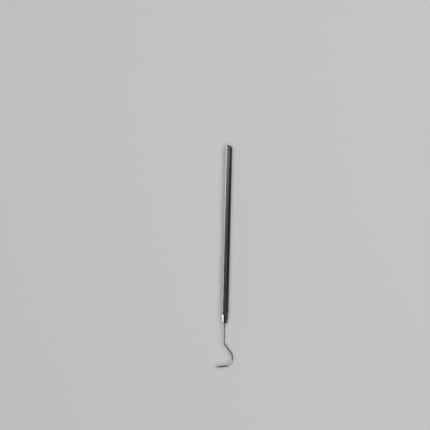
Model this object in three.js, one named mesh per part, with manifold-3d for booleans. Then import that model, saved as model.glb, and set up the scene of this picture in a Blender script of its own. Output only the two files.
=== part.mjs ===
// A single-ended dental explorer: an octagonal tube handle, a turned nose with the working end
// brazed into it, and a crowned plug in the butt.
//
// Units are millimetres and +Z is up. The tool lies on one flat of its handle. The origin is the
// middle of that flat, +X runs along the handle to the working end, and the hook bends out
// towards +Y before its point turns back towards -Y.

import * as THREE from 'three';
import { mergeVertices } from 'three/addons/utils/BufferGeometryUtils.js';
import Module from 'manifold-3d';

const wasm = await Module();
wasm.setup();

// ---- driving dimensions -----------------------------------------------------------------------

const HANDLE_LENGTH = 126;
const ACROSS_FLATS = 5.5;
const EDGE_RADIUS = 0.25;
const TUBE_BORE_RADIUS = 2.0;
const FRONT_CONE_LENGTH = 2.6;

// The rim rounds over from the bore to the flats. The shoulder is where its curve turns hardest.
const RIM_LENGTH = 2.35;
const RIM_SHOULDER_RADIUS = 2.7;
const RIM_SHOULDER_DEPTH = 0.1;

const NOSE_LENGTH = 6.5;
const NOSE_REAR_RADIUS = 2.66;
const NOSE_FRONT_RADIUS = 2.24;
const NOSE_EDGE_RADIUS = 0.8;
const NOSE_SPIGOT_LENGTH = 8;

const PLUG_LENGTH = 6;
const CROWN_HEIGHT = 0.25;

const WIRE_ROOT_RADIUS = 0.55;
const WIRE_NECK_RADIUS = 0.46;
const POINT_RADIUS = 0.06;
const POINT_TAPER_LENGTH = 3;
const POINT_TAPER_POWER = 0.6;
const TANG_LENGTH = 13;

const FILLET_RADIUS = 0.5;

// Clearance of the coaxial fits, and of the faces that meet end to end.
const FIT_GAP = 0.04;

// Corners of the working end's centre line, from the front of the handle: how far along the
// axis, how far out to the side, and the radius of the bend there.
const HOOK_CORNERS = [
  { along: 21.35, aside: 0, bend: 1.8 },
  { along: 33.1, aside: 9, bend: 6.5 },
  { along: 38.25, aside: 2.9, bend: 2.2 },
];
const POINT_END = { along: 39.6, aside: -6.4 };

// ---- worked out from them ---------------------------------------------------------------------

const AXIS_HEIGHT = ACROSS_FLATS / 2;
const HANDLE_FRONT = HANDLE_LENGTH / 2;
const HANDLE_BACK = -HANDLE_FRONT;
const NOSE_FRONT = HANDLE_FRONT + NOSE_LENGTH;
const SPIGOT_RADIUS = TUBE_BORE_RADIUS - FIT_GAP;
const TANG_BORE_RADIUS = WIRE_ROOT_RADIUS + FIT_GAP;
const CLEAR_RADIUS = ACROSS_FLATS * 0.56;

const TURNED_SIDES = 64;
const BORE_SIDES = 32;
const WIRE_SIDES = 16;
const ARC_STEPS = 8;

// ---- helpers ----------------------------------------------------------------------------------

function toSolid(geometry) {
  const bare = geometry.clone();
  bare.deleteAttribute('normal');
  bare.deleteAttribute('uv');
  const merged = mergeVertices(bare, 1e-5);
  return new wasm.Manifold(
    new wasm.Mesh({
      numProp: 3,
      vertProperties: new Float32Array(merged.attributes.position.array),
      triVerts: new Uint32Array(merged.index.array),
    }),
  );
}

function toGeometry(solid) {
  const mesh = solid.getMesh();
  const geometry = new THREE.BufferGeometry();
  geometry.setAttribute('position', new THREE.BufferAttribute(mesh.vertProperties, 3));
  geometry.setIndex(new THREE.BufferAttribute(mesh.triVerts, 1));
  geometry.computeVertexNormals();
  return geometry;
}

// A turned piece about the X axis. The outline's first coordinate is the radius and its second
// is the place along X.
function turned(outline, sides) {
  return new THREE.LatheGeometry(outline, sides).rotateZ(-Math.PI / 2);
}

function cylinderBetween(start, end, radius, sides) {
  const outline = [
    new THREE.Vector2(0, start),
    new THREE.Vector2(radius, start),
    new THREE.Vector2(radius, end),
    new THREE.Vector2(0, end),
  ];
  return turned(outline, sides);
}

// An octagon lying on one flat, with its eight edges rounded.
function octagonShape() {
  const shape = new THREE.Shape();
  const arcCentre = (ACROSS_FLATS / 2 - EDGE_RADIUS) / Math.cos(Math.PI / 8);
  for (let corner = 0; corner < 8; corner += 1) {
    const middle = Math.PI / 8 + (corner * Math.PI) / 4;
    const x = arcCentre * Math.cos(middle);
    const y = arcCentre * Math.sin(middle);
    shape.absarc(x, y, EDGE_RADIUS, middle - Math.PI / 8, middle + Math.PI / 8);
  }
  return shape;
}

// ---- the handle -------------------------------------------------------------------------------

// Half outline of the turning tool's path round the handle: the crowned butt, its rounded rim, a
// clear stretch outside the octagon's edges, and the shallow cone that runs down to the nose.
function handleEnvelope() {
  const rimBack = HANDLE_BACK + CROWN_HEIGHT;
  const path = new THREE.Path();
  path.moveTo(0, rimBack);
  path.lineTo(TUBE_BORE_RADIUS, rimBack);
  path.quadraticCurveTo(
    RIM_SHOULDER_RADIUS,
    rimBack + RIM_SHOULDER_DEPTH,
    CLEAR_RADIUS,
    rimBack + RIM_LENGTH,
  );
  path.lineTo(CLEAR_RADIUS, HANDLE_FRONT - FRONT_CONE_LENGTH);
  path.lineTo(NOSE_REAR_RADIUS, HANDLE_FRONT);
  path.lineTo(0, HANDLE_FRONT);
  return path.getPoints(ARC_STEPS);
}

function handleTube() {
  const options = { depth: HANDLE_LENGTH, bevelEnabled: false, curveSegments: 3 };
  const bar = new THREE.ExtrudeGeometry(octagonShape(), options)
    .rotateY(Math.PI / 2)
    .translate(HANDLE_BACK, 0, 0);
  const bore = cylinderBetween(HANDLE_BACK - 1, HANDLE_FRONT + 1, TUBE_BORE_RADIUS, BORE_SIDES);
  const envelope = turned(handleEnvelope(), TURNED_SIDES);
  return toGeometry(toSolid(bar).intersect(toSolid(envelope)).subtract(toSolid(bore)));
}

// A cylinder pressed into the bore, with a crowned face that carries on the line of the rim.
function buttPlug() {
  const rimBack = HANDLE_BACK + CROWN_HEIGHT;
  const outline = new THREE.Path();
  outline.moveTo(0, HANDLE_BACK);
  outline.quadraticCurveTo(SPIGOT_RADIUS / 2, HANDLE_BACK, SPIGOT_RADIUS, rimBack);
  outline.lineTo(SPIGOT_RADIUS, HANDLE_BACK + PLUG_LENGTH);
  outline.lineTo(0, HANDLE_BACK + PLUG_LENGTH);
  return turned(outline.getPoints(ARC_STEPS), BORE_SIDES);
}

// ---- the nose ---------------------------------------------------------------------------------

// A cone with a rounded front edge, a spigot behind it in the tube, and a bore for the tang.
function noseFerrule() {
  const shoulder = HANDLE_FRONT + FIT_GAP;
  const spigotBack = HANDLE_FRONT - NOSE_SPIGOT_LENGTH;
  const edgeStart = NOSE_FRONT - NOSE_EDGE_RADIUS;
  const body = new THREE.Path();
  body.moveTo(0, shoulder);
  body.lineTo(NOSE_REAR_RADIUS, shoulder);
  body.lineTo(NOSE_FRONT_RADIUS, edgeStart);
  body.quadraticCurveTo(
    NOSE_FRONT_RADIUS,
    NOSE_FRONT,
    NOSE_FRONT_RADIUS - NOSE_EDGE_RADIUS,
    NOSE_FRONT,
  );
  body.lineTo(0, NOSE_FRONT);
  const cone = turned(body.getPoints(ARC_STEPS), TURNED_SIDES);
  const spigot = cylinderBetween(spigotBack, shoulder + 1, SPIGOT_RADIUS, BORE_SIDES);
  const bore = cylinderBetween(spigotBack - 1, NOSE_FRONT + 1, TANG_BORE_RADIUS, WIRE_SIDES);
  return toGeometry(toSolid(cone).add(toSolid(spigot)).subtract(toSolid(bore)));
}

// A hollow-sided ring of braze where the wire leaves the nose.
function brazeFillet() {
  const back = NOSE_FRONT + FIT_GAP;
  const outline = new THREE.Path();
  outline.moveTo(TANG_BORE_RADIUS, back);
  outline.lineTo(TANG_BORE_RADIUS + FILLET_RADIUS, back);
  outline.quadraticCurveTo(
    TANG_BORE_RADIUS + FIT_GAP,
    back + FIT_GAP,
    TANG_BORE_RADIUS + FIT_GAP,
    back + FILLET_RADIUS,
  );
  outline.lineTo(TANG_BORE_RADIUS, back + FILLET_RADIUS);
  outline.lineTo(TANG_BORE_RADIUS, back);
  return turned(outline.getPoints(ARC_STEPS), WIRE_SIDES);
}

// ---- the working end --------------------------------------------------------------------------

// Straight runs joined by bends, from the back of the tang to the point.
function workingEndPath() {
  const toPoint = ({ along, aside }) => new THREE.Vector2(HANDLE_FRONT + along, aside);
  const corners = HOOK_CORNERS.map(toPoint);
  const start = new THREE.Vector2(NOSE_FRONT - TANG_LENGTH, 0);
  const stops = [start, ...corners, toPoint(POINT_END)];
  const path = new THREE.Path();
  path.moveTo(start.x, start.y);
  corners.forEach((corner, index) => {
    const inward = corner.clone().sub(stops[index]).normalize();
    const outward = stops[index + 2].clone().sub(corner).normalize();
    const side = Math.sign(inward.cross(outward));
    const radius = HOOK_CORNERS[index].bend;
    const setback = radius * Math.tan(Math.acos(inward.dot(outward)) / 2);
    const bendStart = corner.clone().addScaledVector(inward, -setback);
    const centreX = bendStart.x - inward.y * radius * side;
    const centreY = bendStart.y + inward.x * radius * side;
    const startAngle = inward.angle() - (side * Math.PI) / 2;
    const endAngle = outward.angle() - (side * Math.PI) / 2;
    path.lineTo(bendStart.x, bendStart.y);
    path.absarc(centreX, centreY, radius, startAngle, endAngle, side < 0);
  });
  path.lineTo(stops.at(-1).x, stops.at(-1).y);
  return path;
}

// Places along the path that carry a ring of the wire's surface: close together round the bends
// and along the ground point, and far apart where the wire is straight.
function wireStations(path) {
  const stations = [];
  for (const run of path.curves) {
    const bend = run.isEllipseCurve ? Math.abs(run.getTangent(0).cross(run.getTangent(1))) : 0;
    const steps = Math.ceil(bend * ARC_STEPS + run.getLength() / 2);
    for (let step = 0; step < steps; step += 1) {
      stations.push({ centre: run.getPointAt(step / steps), tangent: run.getTangentAt(step / steps) });
    }
  }
  const last = path.curves.at(-1);
  stations.push({ centre: last.getPointAt(1), tangent: last.getTangentAt(1) });
  let distance = 0;
  stations.forEach((station, index) => {
    distance += index === 0 ? 0 : station.centre.distanceTo(stations[index - 1].centre);
    station.distance = distance;
  });
  return stations;
}

// Drawn wire from the tang to the bends, ground down to the point over the last stretch.
function wireRadius(distance, length) {
  const neck = length - POINT_TAPER_LENGTH;
  if (distance > neck) {
    const left = (length - distance) / POINT_TAPER_LENGTH;
    return POINT_RADIUS + (WIRE_NECK_RADIUS - POINT_RADIUS) * left ** POINT_TAPER_POWER;
  }
  const drawn = Math.max(0, (distance - TANG_LENGTH) / (neck - TANG_LENGTH));
  return THREE.MathUtils.lerp(WIRE_ROOT_RADIUS, WIRE_NECK_RADIUS, drawn);
}

// A straight rod of unit radius with one ring a station, bent along the path and tapered.
function explorerWire() {
  const stations = wireStations(workingEndPath());
  const steps = stations.length - 1;
  const length = stations[steps].distance;
  const section = new THREE.Shape();
  section.absarc(0, 0, 1, 0, Math.PI * 2);
  const options = { depth: 1, steps, bevelEnabled: false, curveSegments: WIRE_SIDES / 2 };
  const rod = new THREE.ExtrudeGeometry(section, options);
  const position = rod.attributes.position;
  for (let index = 0; index < position.count; index += 1) {
    const station = stations[Math.round(position.getZ(index) * steps)];
    const radius = wireRadius(station.distance, length);
    const { centre, tangent } = station;
    const aside = position.getX(index) * radius;
    const up = position.getY(index) * radius;
    position.setXYZ(index, centre.x - tangent.y * aside, centre.y + tangent.x * aside, up);
  }
  rod.computeVertexNormals();
  return rod;
}

// ---- the assembly -----------------------------------------------------------------------------

const polishedSteel = { color: 0xb9babc, roughness: 0.2, metalness: 1 };
const turnedSteel = { color: 0xc4c4c6, roughness: 0.16, metalness: 1 };
const drawnSteel = { color: 0xb2b3b6, roughness: 0.24, metalness: 1 };
const silverBraze = { color: 0xc0b79f, roughness: 0.32, metalness: 1 };

function piece(name, geometry, look) {
  const mesh = new THREE.Mesh(geometry, new THREE.MeshStandardMaterial(look));
  mesh.name = name;
  return mesh;
}

const explorer = new THREE.Group();
explorer.position.z = AXIS_HEIGHT;
explorer.add(
  piece('handle_tube', handleTube(), polishedSteel),
  piece('butt_plug', buttPlug(), turnedSteel),
  piece('nose_ferrule', noseFerrule(), turnedSteel),
  piece('explorer_wire', explorerWire(), drawnSteel),
  piece('braze_fillet', brazeFillet(), silverBraze),
);

export default explorer;
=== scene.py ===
"""A single-ended dental explorer on a pale floor.

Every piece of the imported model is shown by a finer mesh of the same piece: the octagonal handle
tube, the plug in its butt, the turned nose, the wire working end and the braze that holds it.
Lengths in this script are in millimetres until a mesh or the stage is made, which is in metres.
"""

import math

import bpy
from mathutils import Matrix, Vector

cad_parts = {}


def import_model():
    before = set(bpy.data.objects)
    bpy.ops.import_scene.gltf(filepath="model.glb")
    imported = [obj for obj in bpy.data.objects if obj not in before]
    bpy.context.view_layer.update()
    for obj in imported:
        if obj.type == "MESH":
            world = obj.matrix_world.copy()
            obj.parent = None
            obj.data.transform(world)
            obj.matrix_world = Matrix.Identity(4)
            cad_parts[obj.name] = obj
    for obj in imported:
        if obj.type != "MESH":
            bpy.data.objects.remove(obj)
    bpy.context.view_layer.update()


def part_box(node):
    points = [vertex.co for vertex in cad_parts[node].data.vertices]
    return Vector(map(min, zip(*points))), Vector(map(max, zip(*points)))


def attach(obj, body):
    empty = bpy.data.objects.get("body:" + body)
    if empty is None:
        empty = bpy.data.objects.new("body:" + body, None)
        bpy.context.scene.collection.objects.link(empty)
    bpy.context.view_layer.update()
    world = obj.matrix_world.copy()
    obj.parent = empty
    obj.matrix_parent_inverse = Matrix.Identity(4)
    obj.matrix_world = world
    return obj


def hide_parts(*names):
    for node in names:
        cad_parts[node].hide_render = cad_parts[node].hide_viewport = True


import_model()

MM = 0.001


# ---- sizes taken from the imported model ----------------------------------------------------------

def box_mm(node):
    """A CAD node's lowest and highest corners, in millimetres."""
    low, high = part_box(node)
    return low / MM, high / MM


HANDLE_LOW, HANDLE_HIGH = box_mm("handle_tube")
PLUG_LOW, PLUG_HIGH = box_mm("butt_plug")
NOSE_LOW, NOSE_HIGH = box_mm("nose_ferrule")
WIRE_LOW, WIRE_HIGH = box_mm("explorer_wire")

AXIS_HEIGHT = (HANDLE_LOW.z + HANDLE_HIGH.z) / 2
HALF_FLATS = (HANDLE_HIGH.z - HANDLE_LOW.z) / 2
HANDLE_FRONT = HANDLE_HIGH.x
RIM_BACK = HANDLE_LOW.x
NOSE_REAR_RADIUS = (NOSE_HIGH.z - NOSE_LOW.z) / 2
NOSE_FRONT = NOSE_HIGH.x
PLUG_RADIUS = (PLUG_HIGH.z - PLUG_LOW.z) / 2
WIRE_ROOT_RADIUS = (WIRE_HIGH.z - WIRE_LOW.z) / 2

# ---- sizes of the finer shape, in millimetres ---------------------------------------------------

FIT_GAP = 0.04
BREAK_EDGE = 0.06
EDGE_RADIUS = 0.25
SCALLOP_BLEND = 0.06

TUBE_BORE_RADIUS = PLUG_RADIUS + FIT_GAP
CLEAR_RADIUS = HALF_FLATS * 1.12
RIM_LENGTH = 2.35
RIM_SHOULDER_RADIUS = 2.7
RIM_SHOULDER_DEPTH = 0.1
CROWN_HEIGHT = 0.25
FRONT_CONE_LENGTH = 2.6

NOSE_FRONT_RADIUS = 2.24
NOSE_EDGE_RADIUS = 0.8

WIRE_NECK_RADIUS = 0.46
POINT_RADIUS = 0.06
POINT_TAPER_LENGTH = 3
POINT_TAPER_POWER = 0.6
TANG_LENGTH = 13
FILLET_WIDTH = 0.5

# How the braze is uneven round the wire: share of its width, waves in a turn, and where they start.
BRAZE_WAVES = ((0.09, 2, 0.7), (0.05, 5, 2.1))

# Corners of the working end's centre line, from the front of the handle: how far along the axis,
# how far out to the side, and the radius of the bend there.
HOOK_CORNERS = ((21.35, 0, 1.8), (33.1, 9, 6.5), (38.25, 2.9, 2.2))
POINT_END = (39.6, -6.4)

TURNED_SIDES = 128
WIRE_SIDES = 32
FLAT_STEPS = 16
ARC_STEPS = 6
CLEAR_STATIONS = range(-60, 60, 4)
SHARP_DEGREES = 40

# How far rubbing reaches from an edge, and how much it rubs where that is less than fully.
RIDGE_WEAR_REACH = 0.09
RIM_WEAR_REACH = 2.2
FRONT_WEAR_REACH = 1.2
END_WEAR = 0.7
PLUG_WEAR_REACH = 0.5
PLUG_WEAR = 0.6
SHOULDER_WEAR_REACH = 0.4
NOSE_WEAR_START = 0.3
NOSE_WEAR_REACH = 0.6
POINT_WEAR = 0.8


# ---- mesh helpers -------------------------------------------------------------------------------

def blend_between(first, control, last, steps):
    """Points of a quadratic curve from first to last, both included."""
    points = []
    for step in range(steps + 1):
        t = step / steps
        weights = ((1 - t) ** 2, 2 * t * (1 - t), t * t)
        ends = (first, control, last)
        points.append(tuple(sum(w * p[axis] for w, p in zip(weights, ends)) for axis in (0, 1)))
    return points


def skin(rings, loop=False):
    """Vertices and faces of a surface laid over closed rings of points. A ring of one point is a
    pole, and a loop joins the last ring to the first."""
    starts = []
    vertices = []
    for ring in rings:
        starts.append(len(vertices))
        vertices.extend(ring)
    pairs = list(zip(range(len(rings)), range(1, len(rings))))
    if loop:
        pairs.append((len(rings) - 1, 0))
    faces = []
    for a, b in pairs:
        size_a, size_b = len(rings[a]), len(rings[b])
        sides = max(size_a, size_b)
        for side in range(sides):
            after = (side + 1) % sides
            corners = (
                starts[a] + side % size_a,
                starts[a] + after % size_a,
                starts[b] + after % size_b,
                starts[b] + side % size_b,
            )
            faces.append(tuple(dict.fromkeys(corners)))
    return vertices, faces


def make_piece(node, rings, material, grain, wear, loop=False):
    """A piece that stands for a CAD node. grain gives, for a vertex, its place in the metal's own
    grain, and wear how much it is rubbed, from 0 to 1."""
    vertices, faces = skin(rings, loop)
    mesh = bpy.data.meshes.new(node + "_finished")
    mesh.from_pydata([(x * MM, y * MM, (z + AXIS_HEIGHT) * MM) for x, y, z in vertices], [], faces)
    mesh.attributes.new("grain", "FLOAT_VECTOR", "POINT").data.foreach_set(
        "vector", [part for index, vertex in enumerate(vertices) for part in grain(index, vertex)]
    )
    mesh.attributes.new("wear", "FLOAT", "POINT").data.foreach_set(
        "value", [wear(index, vertex) for index, vertex in enumerate(vertices)]
    )
    mesh.shade_smooth()
    mesh.set_sharp_from_angle(angle=math.radians(SHARP_DEGREES))
    mesh.materials.append(material)
    piece = bpy.data.objects.new(node + "_finished", mesh)
    bpy.context.scene.collection.objects.link(piece)
    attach(piece, "root")
    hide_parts(node)


def turned_rings(outline, sides):
    """Rings about the axis from an outline of (along, radius) points."""
    rings = []
    for along, radius in outline:
        if radius == 0:
            rings.append([(along, 0, 0)])
            continue
        ring = []
        for side in range(sides):
            angle = 2 * math.pi * side / sides
            ring.append((along, radius * math.cos(angle), radius * math.sin(angle)))
        rings.append(ring)
    return rings


def lengthwise_grain(_, vertex):
    return vertex


def turned_grain(_, vertex):
    along, y, z = vertex
    return along, math.hypot(y, z), 0


def rubbed_where(distance, reach):
    """1 at no distance from a rubbed edge, and 0 from reach on."""
    return max(0.0, 1 - abs(distance) / reach) ** 2


# ---- the handle ---------------------------------------------------------------------------------

ARC_CENTRE = (HALF_FLATS - EDGE_RADIUS) / math.cos(math.pi / 8)
FLAT_HALF_ANGLE = math.atan2((HALF_FLATS - EDGE_RADIUS) * math.tan(math.pi / 8), HALF_FLATS)


def octagon_angles():
    """Angles round the axis, finely spaced, with a pair close to each end of every flat so that
    the flats stay flat to the eye."""
    angles = []
    for flat in range(8):
        middle = flat * math.pi / 4
        inside = [-0.9 + 1.8 * step / FLAT_STEPS for step in range(FLAT_STEPS + 1)]
        shares = [-1, -0.97, *inside, 0.97]
        angles.extend(middle + FLAT_HALF_ANGLE * share for share in shares)
        arc = math.pi / 4 - 2 * FLAT_HALF_ANGLE
        start = middle + FLAT_HALF_ANGLE
        angles.extend(start + arc * step / ARC_STEPS for step in range(ARC_STEPS))
    return angles


def octagon_radius(angle):
    """Distance from the axis to the rounded octagon at an angle."""
    from_flat = abs((angle + math.pi / 8) % (math.pi / 4) - math.pi / 8)
    if from_flat <= FLAT_HALF_ANGLE:
        return HALF_FLATS / math.cos(from_flat)
    from_edge = math.pi / 8 - from_flat
    across = ARC_CENTRE * math.sin(from_edge)
    return ARC_CENTRE * math.cos(from_edge) + math.sqrt(EDGE_RADIUS**2 - across**2)


def soft_minimum(a, b, width):
    closeness = max(width - abs(a - b), 0) / width
    return min(a, b) - closeness * closeness * width / 4


def handle_outline():
    """The turned outline round the tube, as (along, radius): the rim, a clear stretch outside the
    flats, the front cone, the front face and the bore. It closes on itself."""
    rim = blend_between(
        (RIM_BACK, TUBE_BORE_RADIUS + BREAK_EDGE),
        (RIM_BACK + RIM_SHOULDER_DEPTH, RIM_SHOULDER_RADIUS),
        (RIM_BACK + RIM_LENGTH, CLEAR_RADIUS),
        36,
    )
    clear = [(RIM_BACK + RIM_LENGTH + 0.4, CLEAR_RADIUS)]
    clear += [(along, CLEAR_RADIUS) for along in CLEAR_STATIONS]
    cone = []
    cone_steps = 30
    cone_end = HANDLE_FRONT - BREAK_EDGE
    for step in range(cone_steps + 1):
        t = step / cone_steps
        along = HANDLE_FRONT - FRONT_CONE_LENGTH + (cone_end - HANDLE_FRONT + FRONT_CONE_LENGTH) * t
        cone.append((along, CLEAR_RADIUS + (NOSE_REAR_RADIUS - CLEAR_RADIUS) * t))
    front = [
        (HANDLE_FRONT, NOSE_REAR_RADIUS - BREAK_EDGE),
        (HANDLE_FRONT, TUBE_BORE_RADIUS + BREAK_EDGE),
        (HANDLE_FRONT - BREAK_EDGE, TUBE_BORE_RADIUS),
    ]
    bore_end = [(RIM_BACK + BREAK_EDGE, TUBE_BORE_RADIUS)]
    return rim + clear + cone + front + bore_end


def handle_piece(material):
    angles = octagon_angles()
    rings = []
    for along, radius in handle_outline():
        ring = []
        for angle in angles:
            reach = radius
            if radius > HALF_FLATS * 0.9:
                reach = soft_minimum(octagon_radius(angle), radius, SCALLOP_BLEND)
            ring.append((along, reach * math.cos(angle), reach * math.sin(angle)))
        rings.append(ring)

    def wear(_, vertex):
        along, y, z = vertex
        edge = octagon_radius(math.atan2(z, y)) - HALF_FLATS / math.cos(math.pi / 8)
        on_edge = rubbed_where(edge, RIDGE_WEAR_REACH)
        at_rim = rubbed_where(along - RIM_BACK, RIM_WEAR_REACH)
        at_front = rubbed_where(HANDLE_FRONT - along, FRONT_WEAR_REACH)
        return min(1, on_edge + max(at_rim, at_front) * END_WEAR)

    make_piece(
        "handle_tube", rings, material, lengthwise_grain, wear, loop=True
    )


def plug_piece(material):
    crown = blend_between(
        (PLUG_LOW.x, 0),
        (PLUG_LOW.x, PLUG_RADIUS / 2),
        (PLUG_LOW.x + CROWN_HEIGHT - BREAK_EDGE / 2, PLUG_RADIUS - BREAK_EDGE),
        24,
    )
    outline = crown + [
        (PLUG_LOW.x + CROWN_HEIGHT + BREAK_EDGE / 2, PLUG_RADIUS),
        (PLUG_HIGH.x - BREAK_EDGE, PLUG_RADIUS),
        (PLUG_HIGH.x, PLUG_RADIUS - BREAK_EDGE),
        (PLUG_HIGH.x, 0),
    ]

    def wear(_, vertex):
        from_edge = math.hypot(vertex[1], vertex[2]) - PLUG_RADIUS
        return rubbed_where(from_edge, PLUG_WEAR_REACH) * PLUG_WEAR

    make_piece(
        "butt_plug", turned_rings(outline, TURNED_SIDES), material, turned_grain, wear
    )


# ---- the nose -----------------------------------------------------------------------------------

NOSE_SHOULDER = HANDLE_FRONT + FIT_GAP
NOSE_EDGE_START = NOSE_FRONT - NOSE_EDGE_RADIUS


def nose_outline():
    """The spigot, the shoulder against the tube, the cone, its rounded front edge and the bore, as
    (along, radius). It closes on itself."""
    bore = WIRE_ROOT_RADIUS + FIT_GAP
    spigot_back = NOSE_LOW.x
    front_edge = blend_between(
        (NOSE_EDGE_START, NOSE_FRONT_RADIUS),
        (NOSE_FRONT, NOSE_FRONT_RADIUS),
        (NOSE_FRONT, NOSE_FRONT_RADIUS - NOSE_EDGE_RADIUS),
        16,
    )
    spigot = [
        (spigot_back, bore + BREAK_EDGE),
        (spigot_back, PLUG_RADIUS - BREAK_EDGE),
        (spigot_back + BREAK_EDGE, PLUG_RADIUS),
        (NOSE_SHOULDER, PLUG_RADIUS),
    ]
    rear_edge = [
        (NOSE_SHOULDER, NOSE_REAR_RADIUS - BREAK_EDGE),
        (NOSE_SHOULDER + BREAK_EDGE, NOSE_REAR_RADIUS),
    ]
    tang_bore = [
        (NOSE_FRONT, bore + BREAK_EDGE),
        (NOSE_FRONT - BREAK_EDGE, bore),
        (spigot_back + BREAK_EDGE, bore),
    ]
    return spigot + rear_edge + front_edge + tang_bore


def nose_piece(material):
    def wear(_, vertex):
        along = vertex[0]
        at_rear = rubbed_where(along - NOSE_SHOULDER, SHOULDER_WEAR_REACH)
        at_front = rubbed_where(along - NOSE_EDGE_START - NOSE_WEAR_START, NOSE_WEAR_REACH)
        return max(at_rear, at_front)

    rings = turned_rings(nose_outline(), TURNED_SIDES)
    make_piece(
        "nose_ferrule", rings, material, turned_grain, wear, loop=True
    )


def fillet_piece(material):
    """A ring of braze with a hollow side, a little uneven round the wire as it froze."""
    inner = WIRE_ROOT_RADIUS + FIT_GAP / 4
    back = NOSE_FRONT + FIT_GAP / 4
    hollow = blend_between(
        (back, inner + FILLET_WIDTH),
        (back + FIT_GAP, inner + FIT_GAP),
        (back + FILLET_WIDTH, inner + FIT_GAP / 2),
        14,
    )
    outline = [(back, inner)] + hollow + [(back + FILLET_WIDTH, inner)]
    rings = []
    for along, radius in outline:
        ring = []
        for side in range(TURNED_SIDES // 2):
            angle = 4 * math.pi * side / TURNED_SIDES
            uneven = sum(share * math.sin(waves * angle + at) for share, waves, at in BRAZE_WAVES)
            reach = inner + (radius - inner) * (1 + uneven)
            ring.append((along, reach * math.cos(angle), reach * math.sin(angle)))
        rings.append(ring)
    make_piece(
        "braze_fillet", rings, material, turned_grain, lambda *_: 0, loop=True
    )


# ---- the working end ----------------------------------------------------------------------------

def straight_run(start, end):
    """Stations from start up to, but not at, end, about half a millimetre apart."""
    steps = math.ceil((end - start).length * 2)
    direction = (end - start).normalized()
    return [(start.lerp(end, step / steps), direction) for step in range(steps)]


def bend(start, inward, turn, radius):
    """Stations round a bend that starts in the direction inward, about two degrees apart."""
    side = math.copysign(1, turn)
    centre = start + Vector((-inward.y, inward.x)) * radius * side
    steps = math.ceil(math.degrees(abs(turn)) / 2)
    turns = [Matrix.Rotation(turn * step / steps, 2) for step in range(steps)]
    return [(centre + part @ (start - centre), part @ inward) for part in turns]


def working_end_stations():
    """Places along the wire as (centre, direction), from the back of the tang to the point."""
    corners = [Vector((HANDLE_FRONT + along, aside)) for along, aside, _ in HOOK_CORNERS]
    run_start = Vector((NOSE_FRONT - TANG_LENGTH, 0))
    finish = Vector((HANDLE_FRONT + POINT_END[0], POINT_END[1]))
    stops = [run_start, *corners, finish]
    stations = []
    for before, corner, after, (_, _, radius) in zip(stops, corners, stops[2:], HOOK_CORNERS):
        inward = (corner - before).normalized()
        outward = (after - corner).normalized()
        turn = -inward.angle_signed(outward)
        setback = radius * math.tan(abs(turn) / 2)
        bend_start = corner - inward * setback
        stations += straight_run(run_start, bend_start)
        stations += bend(bend_start, inward, turn, radius)
        run_start = corner + outward * setback
    stations += straight_run(run_start, finish)
    stations.append((finish, (finish - run_start).normalized()))
    return stations


def wire_radius(distance, length):
    """Drawn wire that thins steadily to the neck, then is ground down to the point."""
    neck = length - POINT_TAPER_LENGTH
    if distance > neck:
        left = (length - distance) / POINT_TAPER_LENGTH
        return POINT_RADIUS + (WIRE_NECK_RADIUS - POINT_RADIUS) * left**POINT_TAPER_POWER
    drawn = max(0, (distance - TANG_LENGTH) / (neck - TANG_LENGTH))
    return WIRE_ROOT_RADIUS + (WIRE_NECK_RADIUS - WIRE_ROOT_RADIUS) * drawn


def wire_piece(material):
    stations = working_end_stations()
    distances = [0]
    for (before, _), (after, _) in zip(stations, stations[1:]):
        distances.append(distances[-1] + (after - before).length)
    length = distances[-1]
    rings = [[(stations[0][0].x, 0, 0)]]
    straight = [(0, 0, 0)]
    for (centre, direction), distance in zip(stations, distances):
        radius = wire_radius(distance, length)
        ring = []
        for side in range(WIRE_SIDES):
            angle = 2 * math.pi * side / WIRE_SIDES
            aside, up = radius * math.cos(angle), radius * math.sin(angle)
            ring.append((centre.x - direction.y * aside, centre.y + direction.x * aside, up))
            straight.append((distance, aside, up))
        rings.append(ring)
    tip, direction = stations[-1]
    rings.append([(*(tip + direction * POINT_RADIUS / 2), 0)])
    straight.append((length, 0, 0))

    def grain(index, _):
        return straight[index]

    def wear(index, _):
        return rubbed_where(length - straight[index][0], POINT_TAPER_LENGTH) * POINT_WEAR

    make_piece("explorer_wire", rings, material, grain, wear)


# ---- materials ----------------------------------------------------------------------------------

def add_node(tree, kind, settings=None, inputs=None):
    """A shader node with its settings, and its inputs as values or as sockets to link from."""
    node = tree.nodes.new(kind)
    for key, value in (settings or {}).items():
        setattr(node, key, value)
    for key, value in (inputs or {}).items():
        if isinstance(value, bpy.types.NodeSocket):
            tree.links.new(value, node.inputs[key])
        else:
            node.inputs[key].default_value = value
    return node


def noise(tree, grain, scale, detail, turn=(0, 0, 0)):
    """Noise on the metal's grain, with scale in features a millimetre along each direction."""
    mapped = add_node(
        tree, "ShaderNodeMapping", None, {"Vector": grain, "Scale": scale, "Rotation": turn}
    )
    made = add_node(
        tree,
        "ShaderNodeTexNoise",
        None,
        {"Vector": mapped.outputs["Vector"], "Scale": 1, "Detail": detail, "Roughness": 0.6},
    )
    return made.outputs["Fac"]


def remap(tree, value, low, high, to_low=0.0, to_high=1.0):
    made = add_node(
        tree,
        "ShaderNodeMapRange",
        None,
        {"Value": value, "From Min": low, "From Max": high, "To Min": to_low, "To Max": to_high},
    )
    return made.outputs["Result"]


def add_up(tree, *values):
    total = values[0]
    for value in values[1:]:
        total = add_node(tree, "ShaderNodeMath", {"operation": "ADD"}, {0: total, 1: value}).outputs[0]
    return total


def mix_colour(tree, factor, first, second):
    made = add_node(
        tree, "ShaderNodeMix", {"data_type": "RGBA"}, {"Factor": factor, 6: first, 7: second}
    )
    return made.outputs[2]


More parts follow.
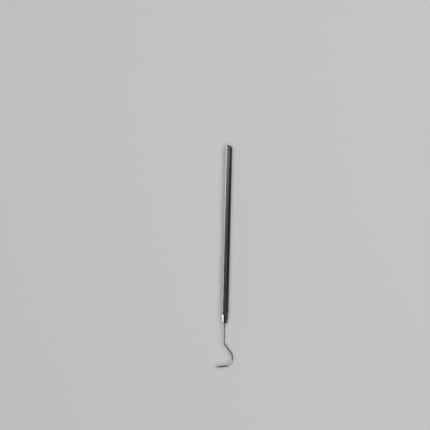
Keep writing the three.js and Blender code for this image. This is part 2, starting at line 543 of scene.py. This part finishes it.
def bump(tree, height, depth_mm, below=None):
    inputs = {"Height": height, "Distance": depth_mm * MM, "Strength": 1.0}
    if below is not None:
        inputs["Normal"] = below
    return add_node(tree, "ShaderNodeBump", None, inputs).outputs["Normal"]


def shade(colour, factor):
    return (*(channel * factor for channel in colour), 1.0)


# Features a millimetre along each direction of the grain: the wheel's slow waves, handling marks,
# and two sets of scratches with the angles at which they cross the grain.
WAVE_SCALE = (0.16, 0.5, 0.5)
MARK_SCALE = (0.09, 0.3, 0.3)
SCRATCHES = (
    ((0.5, 9, 9), (0, 0.25, 0.3), 0.66, 0.72),
    ((0.6, 12, 12), (0, -0.35, -0.5), 0.68, 0.73),
)

# How hairlines, handling marks and rubbing change the metal. Dark, light, smooth, rough and
# smoothing are factors on its colour or roughness. MARK_ROUGHNESS is added, RUBBED_SHARE is how far
# rubbing takes the colour, and SCRATCH_DEPTH is in hairline depths.
LINE_DARK, LINE_LIGHT = 0.86, 1.08
LINE_SMOOTH, LINE_ROUGH = 0.75, 1.25
MARK_DARK = 0.9
MARK_ROUGHNESS = 0.07
RUBBED_LIGHT = 1.3
RUBBED_SHARE = 0.6
RUBBED_SMOOTHING = 0.3
SCRATCH_DEPTH = 1.5


def scratches_on(tree, grain):
    """Where the surface is scratched: the thin crests of two turned noises."""
    crests = [
        remap(tree, noise(tree, grain, scale, 2, turn), low, high)
        for scale, turn, low, high in SCRATCHES
    ]
    return add_up(tree, *crests)


def steel_colour(tree, colour, lines, marks, wear):
    tone = mix_colour(tree, lines, shade(colour, LINE_DARK), shade(colour, LINE_LIGHT))
    marked = mix_colour(tree, remap(tree, marks, 0.4, 0.75), tone, shade(colour, MARK_DARK))
    rubbed = remap(tree, wear, 0, 1, 0, RUBBED_SHARE)
    return mix_colour(tree, rubbed, marked, shade(colour, RUBBED_LIGHT))


def steel_roughness(tree, roughness, scratch_roughness, lines, marks, scratches, wear):
    return add_up(
        tree,
        remap(tree, lines, 0.2, 0.8, roughness * LINE_SMOOTH, roughness * LINE_ROUGH),
        remap(tree, marks, 0.45, 0.8, 0, MARK_ROUGHNESS),
        remap(tree, scratches, 0, 1, 0, scratch_roughness),
        remap(tree, wear, 0, 1, 0, -roughness * RUBBED_SMOOTHING),
    )


def steel(name, colour, roughness, hairlines, wave_depth, hairline_depth, scratch_roughness):
    """Polished steel: slow waves left by the wheel, hairlines along the grain, a few crossing
    scratches, faint handling marks, and brighter, smoother metal where edges are rubbed."""
    material = bpy.data.materials.new(name)
    material.use_nodes = True
    tree = material.node_tree
    shader = tree.nodes["Principled BSDF"]
    shader.inputs["Metallic"].default_value = 1.0
    grain = add_node(tree, "ShaderNodeAttribute", {"attribute_name": "grain"}).outputs["Vector"]
    wear = add_node(tree, "ShaderNodeAttribute", {"attribute_name": "wear"}).outputs["Fac"]

    lines = noise(tree, grain, hairlines, 5)
    waves = noise(tree, grain, WAVE_SCALE, 3)
    marks = noise(tree, grain, MARK_SCALE, 4)
    scratches = scratches_on(tree, grain)
    surface = bump(tree, waves, wave_depth)
    surface = bump(tree, lines, hairline_depth, surface)
    surface = bump(tree, scratches, -hairline_depth * SCRATCH_DEPTH, surface)
    rough = steel_roughness(tree, roughness, scratch_roughness, lines, marks, scratches, wear)
    tree.links.new(steel_colour(tree, colour, lines, marks, wear), shader.inputs["Base Color"])
    tree.links.new(rough, shader.inputs["Roughness"])
    tree.links.new(surface, shader.inputs["Normal"])
    return material


def handle_steel():
    return steel("polished_handle_steel", (0.6, 0.6, 0.605), 0.15, (0.06, 14, 14), 0.016, 0.0009, 0.08)


def turned_steel():
    return steel("turned_steel", (0.64, 0.64, 0.65), 0.11, (18, 18, 1), 0.004, 0.0004, 0.05)


def wire_steel():
    return steel("drawn_wire_steel", (0.54, 0.545, 0.56), 0.15, (0.12, 16, 16), 0.003, 0.0005, 0.06)


def braze_metal():
    return steel("silver_braze_metal", (0.62, 0.58, 0.5), 0.28, (3, 3, 3), 0.006, 0.0015, 0.05)


# ---- the stage ----------------------------------------------------------------------------------

FLOOR_TONE = (0.80, 0.805, 0.81)
CARD_HEIGHT = 0.0004
CAMERA_ROLL = math.radians(1.317)
CAMERA_LEAN = math.radians(6)
CAMERA_TARGET = (-10.98, -8.89)
VIEW_WIDTH = 321.0
LENS = 85
SENSOR = 36


def flat_card(name, centre, size_x, size_y):
    """A level rectangle on the stage, in metres."""
    mesh = bpy.data.meshes.new(name)
    half_x, half_y = size_x / 2, size_y / 2
    corners = [(-half_x, -half_y, 0), (half_x, -half_y, 0), (half_x, half_y, 0), (-half_x, half_y, 0)]
    mesh.from_pydata(corners, [], [(0, 1, 2, 3)])
    card = bpy.data.objects.new(name, mesh)
    bpy.context.scene.collection.objects.link(card)
    card.location = centre
    return card


def floor():
    """A plain pale table."""
    card = flat_card("floor", (0, 0, 0), 8, 8)
    material = bpy.data.materials.new("pale_floor")
    material.use_nodes = True
    shader = material.node_tree.nodes["Principled BSDF"]
    shader.inputs["Base Color"].default_value = (*FLOOR_TONE, 1)
    shader.inputs["Roughness"].default_value = 0.9
    shader.inputs["Specular IOR Level"].default_value = 0.1
    card.data.materials.append(material)


def emitting(name, tone):
    material = bpy.data.materials.new(name)
    material.use_nodes = True
    tree = material.node_tree
    tree.nodes.clear()
    glow = add_node(tree, "ShaderNodeEmission", None, {"Color": (*tone, 1), "Strength": 1.0})
    out = add_node(tree, "ShaderNodeOutputMaterial")
    tree.links.new(glow.outputs["Emission"], out.inputs["Surface"])
    return material


def dark_card(name, low, high, tone):
    """A dark card just over the floor that only the tool's reflections see, as a studio flag.
    low and high are two corners, in metres."""
    middle = [(a + b) / 2 for a, b in zip(low, high)]
    card = flat_card(name, (*middle, CARD_HEIGHT), high[0] - low[0], high[1] - low[1])
    card.data.materials.append(emitting(name, tone))
    card.visible_camera = False
    card.visible_diffuse = False
    card.visible_shadow = False


# Each dark card: its two corners on the floor, in metres, and its tone.
DARK_CARDS = (
    # The card against the handle is painted shadow: the handle's lower sides reflect it as the dark
    # contact shadow along them.
    ("shadow_card_against_handle", (-0.07, -0.002), (0.062, 0.005), (0.014, 0.016, 0.018)),
    ("card_beside_handle", (-0.3, 0.016), (0.062, 0.5), (0.014, 0.016, 0.018)),
    ("card_beside_nose", (0.062, -0.001), (0.074, 0.5), (0.05, 0.055, 0.06)),
    ("card_under_hook", (0.086, -0.2), (0.3, 0.5), (0.06, 0.065, 0.07)),
)


def area_light(name, location, size, power, tone):
    data = bpy.data.lights.new(name, "AREA")
    data.shape = "RECTANGLE"
    data.size, data.size_y = size
    data.energy = power
    data.color = tone
    light = bpy.data.objects.new(name, data)
    bpy.context.scene.collection.objects.link(light)
    light.location = location
    light.rotation_euler = (-Vector(location)).to_track_quat("-Z", "Y").to_euler()
    light.visible_camera = False
    return light


# Each softbox: where it is and its size, in metres, its power in watts and its tone.
OVERHEAD_SOFTBOX = ("overhead_softbox", (-0.1, 0.3, 1.3), (2.2, 2.2), 18.6, (1, 1, 1))
SIDE_SOFTBOX = ("side_softbox", (-0.145, -0.748, 0.516), (1.08, 1.08), 4.7, (1, 0.995, 0.99))
CORNER_SOFTBOX = ("corner_softbox", (-0.22, -0.735, 0.49), (0.42, 0.65), 2.3, (1, 1, 1))


def lights():
    """One softbox overhead lights the floor. The other two are what the steel reflects: a wide
    one along its left side, and a brighter one within it, towards the butt."""
    area_light(*OVERHEAD_SOFTBOX).visible_glossy = False
    area_light(*SIDE_SOFTBOX).visible_diffuse = False
    area_light(*CORNER_SOFTBOX).visible_diffuse = False


def tones_along(tree, place, tones):
    """A colour that changes along place, from a list of (place, colour) between -1 and 1."""
    ramp = add_node(tree, "ShaderNodeValToRGB", None, {"Fac": remap(tree, place, -1, 1)})
    stops = ramp.color_ramp.elements
    for _ in tones[2:]:
        stops.new(0.5)
    for stop, (at, tone) in zip(stops, tones):
        stop.position = (at + 1) / 2
        stop.color = (*tone, 1)
    return ramp.outputs["Color"]


# What is over the tool and beyond its right side, along the handle from the butt to the hook, and
# what stands low on its left.
OVERHEAD_TONES = (
    (-0.4, (0.035, 0.035, 0.035)),
    (-0.25, (0.38, 0.36, 0.345)),
    (-0.06, (0.38, 0.36, 0.345)),
    (-0.01, (0.063, 0.07, 0.08)),
    (0.1, (0.063, 0.07, 0.08)),
    (0.15, (0.02, 0.02, 0.02)),
    (0.38, (0.02, 0.02, 0.02)),
    (0.45, (0.15, 0.155, 0.16)),
    (0.6, (0.15, 0.155, 0.16)),
    (0.75, (0.02, 0.02, 0.02)),
)
BESIDE_TONES = (
    (-0.5, (0.4, 0.4, 0.4)),
    (-0.3, (0.09, 0.086, 0.084)),
    (-0.07, (0.09, 0.086, 0.084)),
    (-0.04, (0.012, 0.014, 0.016)),
    (0.05, (0.012, 0.014, 0.016)),
    (0.09, (0.045, 0.05, 0.055)),
    (0.15, (0.075, 0.075, 0.08)),
    (0.3, (0.075, 0.075, 0.08)),
    (0.5, (0.4, 0.4, 0.4)),
)
LEFT_TONE = (0.3, 0.3, 0.305)


def world():
    """A dim room: warm and lighter over the butt, cool and darker over the working end, and pale
    low on the left and towards both ends."""
    made = bpy.data.worlds.new("room")
    made.use_nodes = True
    bpy.context.scene.world = made
    tree = made.node_tree
    background = tree.nodes["Background"]
    direction = add_node(tree, "ShaderNodeTexCoord").outputs["Generated"]
    parts = add_node(tree, "ShaderNodeSeparateXYZ", None, {"Vector": direction}).outputs
    overhead = tones_along(tree, parts["X"], OVERHEAD_TONES)
    beside = tones_along(tree, parts["X"], BESIDE_TONES)
    right_side = mix_colour(tree, remap(tree, parts["Y"], 0.4, 0.9), overhead, beside)
    leftness = remap(tree, parts["Y"], -0.2, -0.5)
    lowness = remap(tree, parts["Z"], 0.45, 0.3)
    both = {0: leftness, 1: lowness}
    low_on_left = add_node(tree, "ShaderNodeMath", {"operation": "MULTIPLY"}, both).outputs[0]
    room = mix_colour(tree, low_on_left, right_side, (*LEFT_TONE, 1))
    tree.links.new(room, background.inputs["Color"])
    background.inputs["Strength"].default_value = 1.0


def camera():
    """Looks down on the tool, with the butt at the top and the handle leaning a little."""
    level_right = Vector((-math.sin(CAMERA_ROLL), math.cos(CAMERA_ROLL), 0))
    upright = Vector((0, 0, 1))
    back = upright * math.cos(CAMERA_LEAN) + level_right * math.sin(CAMERA_LEAN)
    right = level_right * math.cos(CAMERA_LEAN) - upright * math.sin(CAMERA_LEAN)
    up = back.cross(right)
    target = Vector((*CAMERA_TARGET, AXIS_HEIGHT)) * MM
    distance = VIEW_WIDTH * MM * LENS / SENSOR
    data = bpy.data.cameras.new("camera")
    data.lens = LENS
    data.sensor_width = SENSOR
    data.clip_start, data.clip_end = 0.01, 20
    made = bpy.data.objects.new("camera", data)
    bpy.context.scene.collection.objects.link(made)
    made.matrix_world = Matrix.Translation(target + back * distance) @ Matrix(
        (right, up, back)
    ).transposed().to_4x4()
    bpy.context.scene.camera = made


# ---- the scene ----------------------------------------------------------------------------------

turned = turned_steel()
handle_piece(handle_steel())
plug_piece(turned)
nose_piece(turned)
wire_piece(wire_steel())
fillet_piece(braze_metal())

floor()
for dark in DARK_CARDS:
    dark_card(*dark)
lights()
world()
camera()
bpy.context.scene.view_settings.view_transform = "Standard"
